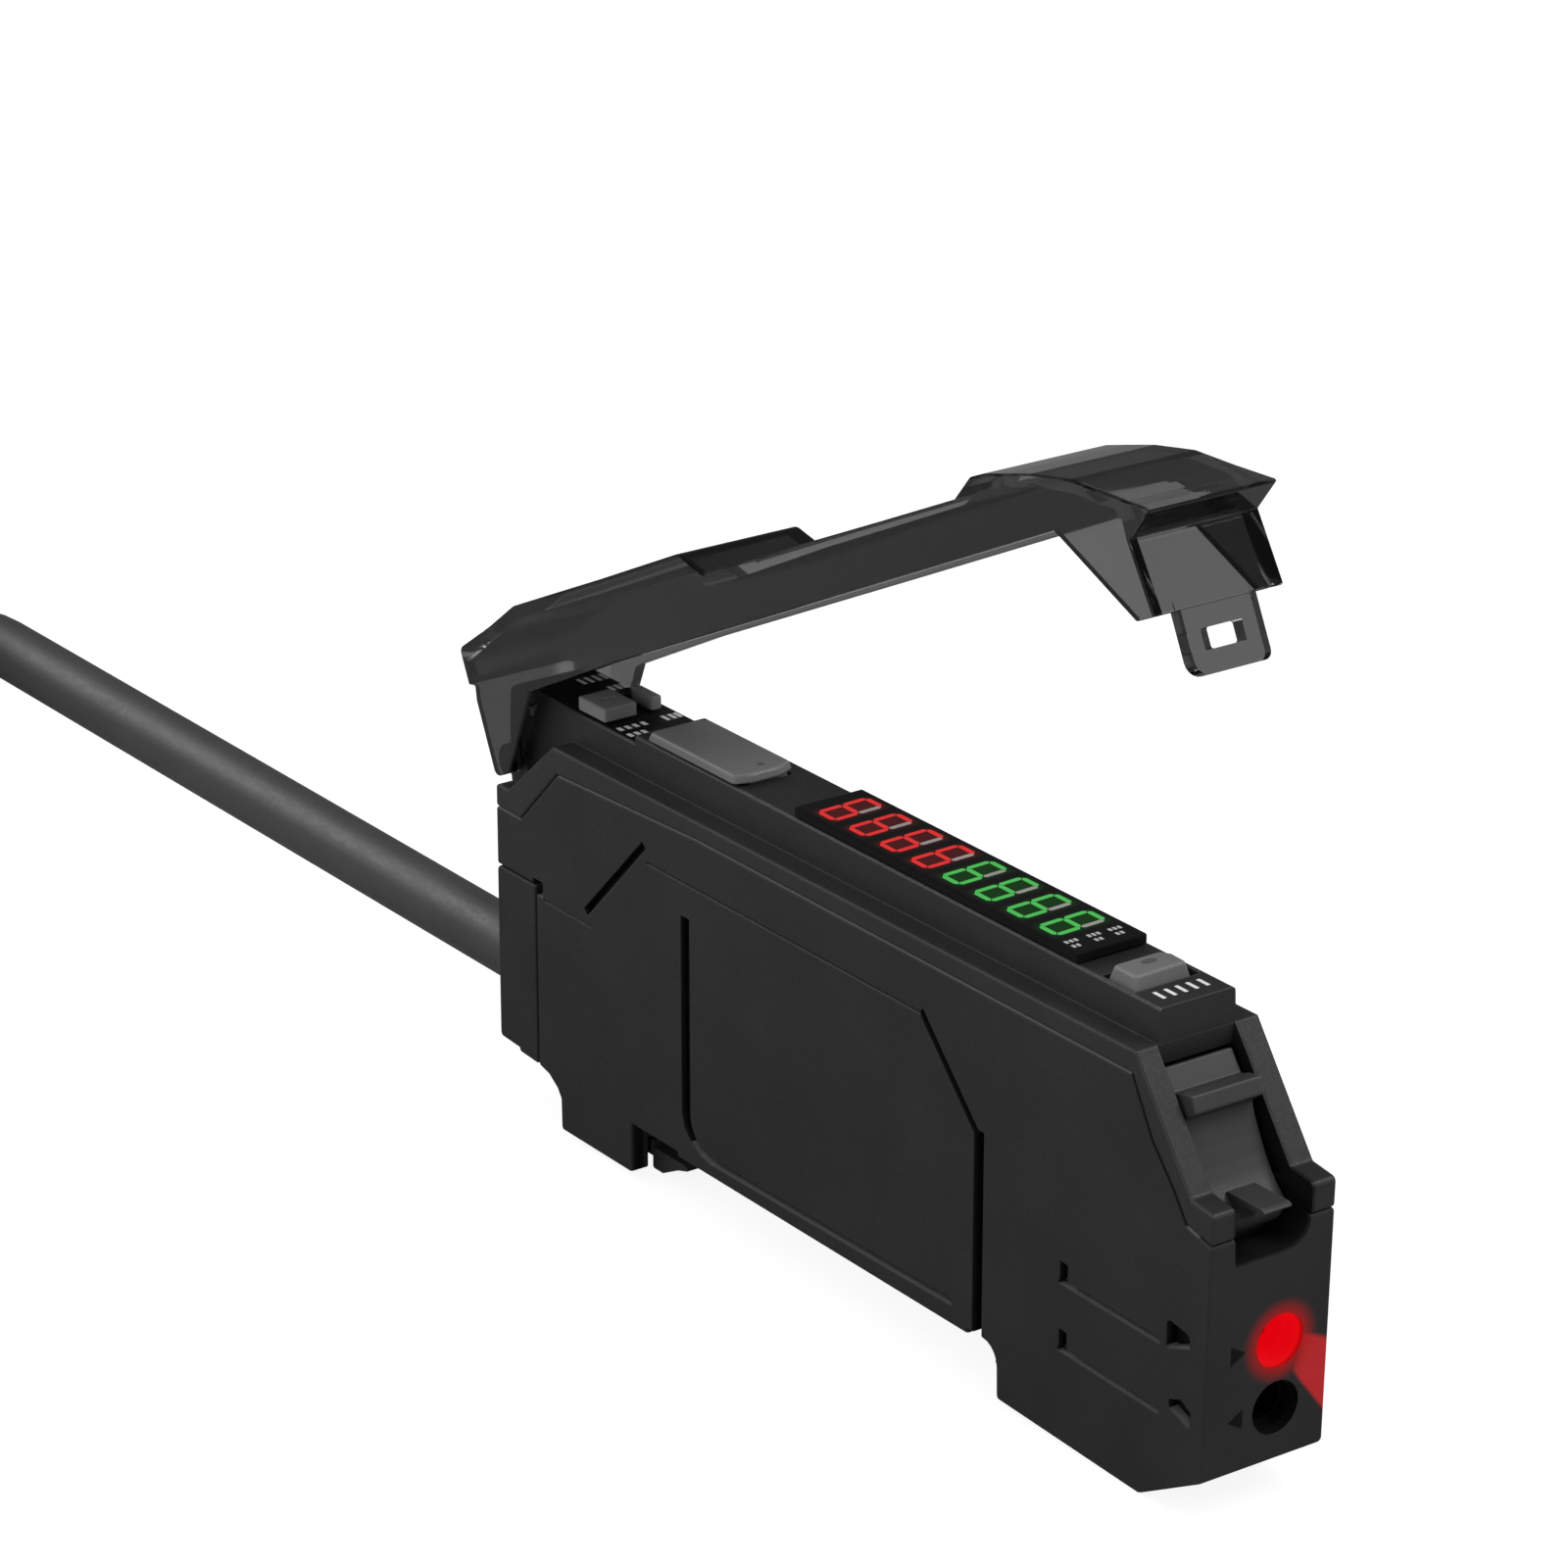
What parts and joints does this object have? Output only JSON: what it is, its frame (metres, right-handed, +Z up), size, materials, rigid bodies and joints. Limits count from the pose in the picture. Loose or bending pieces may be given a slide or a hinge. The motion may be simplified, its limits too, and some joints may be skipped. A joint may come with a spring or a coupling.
{
  "type": "fibre optic sensor amplifier",
  "caption": "Slim black rail-mounted amplifier for a fibre optic sensor, with a smoked cover hinged open, a digital display, keys, a fibre lock lever and a rear cable.",
  "frame": {"origin": "middle of the rail seat face, at mid width", "axes": "+X towards the fibre ports, +Z up through the display, Y across the slim case"},
  "size_m": [0.2499, 0.04, 0.056],
  "materials": {
    "main_case": "fine texture",
    "top_frame": "satin",
    "rear_cable_block": "fine texture",
    "cable_bush": "matt",
    "key_board": "solder mask",
    "main_pcb": "solder mask",
    "controller_chip": "matt",
    "display_module": "gloss",
    "display_window": "gloss",
    "tact_switch_up": "matt",
    "tact_switch_down": "matt",
    "tact_switch_set": "matt",
    "slide_switch_body_a": "tinned",
    "slide_switch_body_b": "tinned",
    "rocker_pin": "ground",
    "lever_pin": "ground",
    "optic_block": "matt",
    "emitter_led": "clear red",
    "receiver_photodiode": "dark clear",
    "fibre_clamp_pad": "matt",
    "cable_cores": "insulation",
    "cable_tube": "satin PVC",
    "cable_hank": "satin PVC",
    "cable_tie": "nylon",
    "cable_end_cores": "insulation",
    "cover": "smoked clear, gloss",
    "rocker_key": "satin",
    "set_key": "satin",
    "slide_knob_a": "satin",
    "slide_knob_b": "satin",
    "lock_lever": "satin",
    "din_claw": "satin"
  },
  "bodies": {
    "case": {"main_case": "main_case", "top_frame": "top_frame", "rear_cable_block": "rear_cable_block", "cable_bush": "cable_bush", "key_board": "key_board", "main_pcb": "main_pcb", "controller_chip": "controller_chip", "display_module": "display_module", "display_window": "display_window", "tact_switch_up": "tact_switch_up", "tact_switch_down": "tact_switch_down", "tact_switch_set": "tact_switch_set", "slide_switch_body_a": "slide_switch_body_a", "slide_switch_body_b": "slide_switch_body_b", "rocker_pin": "rocker_pin", "lever_pin": "lever_pin", "optic_block": "optic_block", "emitter_led": "emitter_led", "receiver_photodiode": "receiver_photodiode", "fibre_clamp_pad": "fibre_clamp_pad", "cable_cores": "cable_cores", "cable_tube": "cable_tube", "cable_hank": "cable_hank", "cable_tie": "cable_tie", "cable_end_cores": "cable_end_cores"},
    "cover": {"cover": "cover"},
    "rocker": {"rocker_key": "rocker_key"},
    "set_button": {"set_key": "set_key"},
    "knob_a": {"slide_knob_a": "slide_knob_a"},
    "knob_b": {"slide_knob_b": "slide_knob_b"},
    "lever": {"lock_lever": "lock_lever"},
    "claw": {"din_claw": "din_claw"}
  },
  "joints": [
    {"name": "cover_hinge", "type": "hinge", "parent": "case", "child": "cover", "pos_m": [-0.0318, 0, 0.01915], "axis": [0, -1, 0], "range_deg": [-26, 70]},
    {"name": "rocker_tilt", "type": "hinge", "parent": "case", "child": "rocker", "pos_m": [-0.0136, 0, 0.0232], "axis": [0, 1, 0], "range_deg": [-1.8, 1.8], "stiffness_Nm_per_rad": 0.25},
    {"name": "set_press", "type": "slide", "parent": "case", "child": "set_button", "axis": [0, 0, -1], "range_m": [0, 0.00035], "stiffness_N_per_m": 400, "springref_m": -0.0002},
    {"name": "knob_a_slide", "type": "slide", "parent": "case", "child": "knob_a", "axis": [-1, 0, 0], "range_m": [0, 0.0015]},
    {"name": "knob_b_slide", "type": "slide", "parent": "case", "child": "knob_b", "axis": [-1, 0, 0], "range_m": [0, 0.0015]},
    {"name": "lever_pivot", "type": "hinge", "parent": "case", "child": "lever", "pos_m": [0.033, 0, 0.0144], "axis": [0, 1, 0], "range_deg": [0, 30]},
    {"name": "claw_slide", "type": "slide", "parent": "case", "child": "claw", "axis": [-1, 0, 0], "range_m": [0, 0.0025], "stiffness_N_per_m": 900, "springref_m": -0.001}
  ]
}
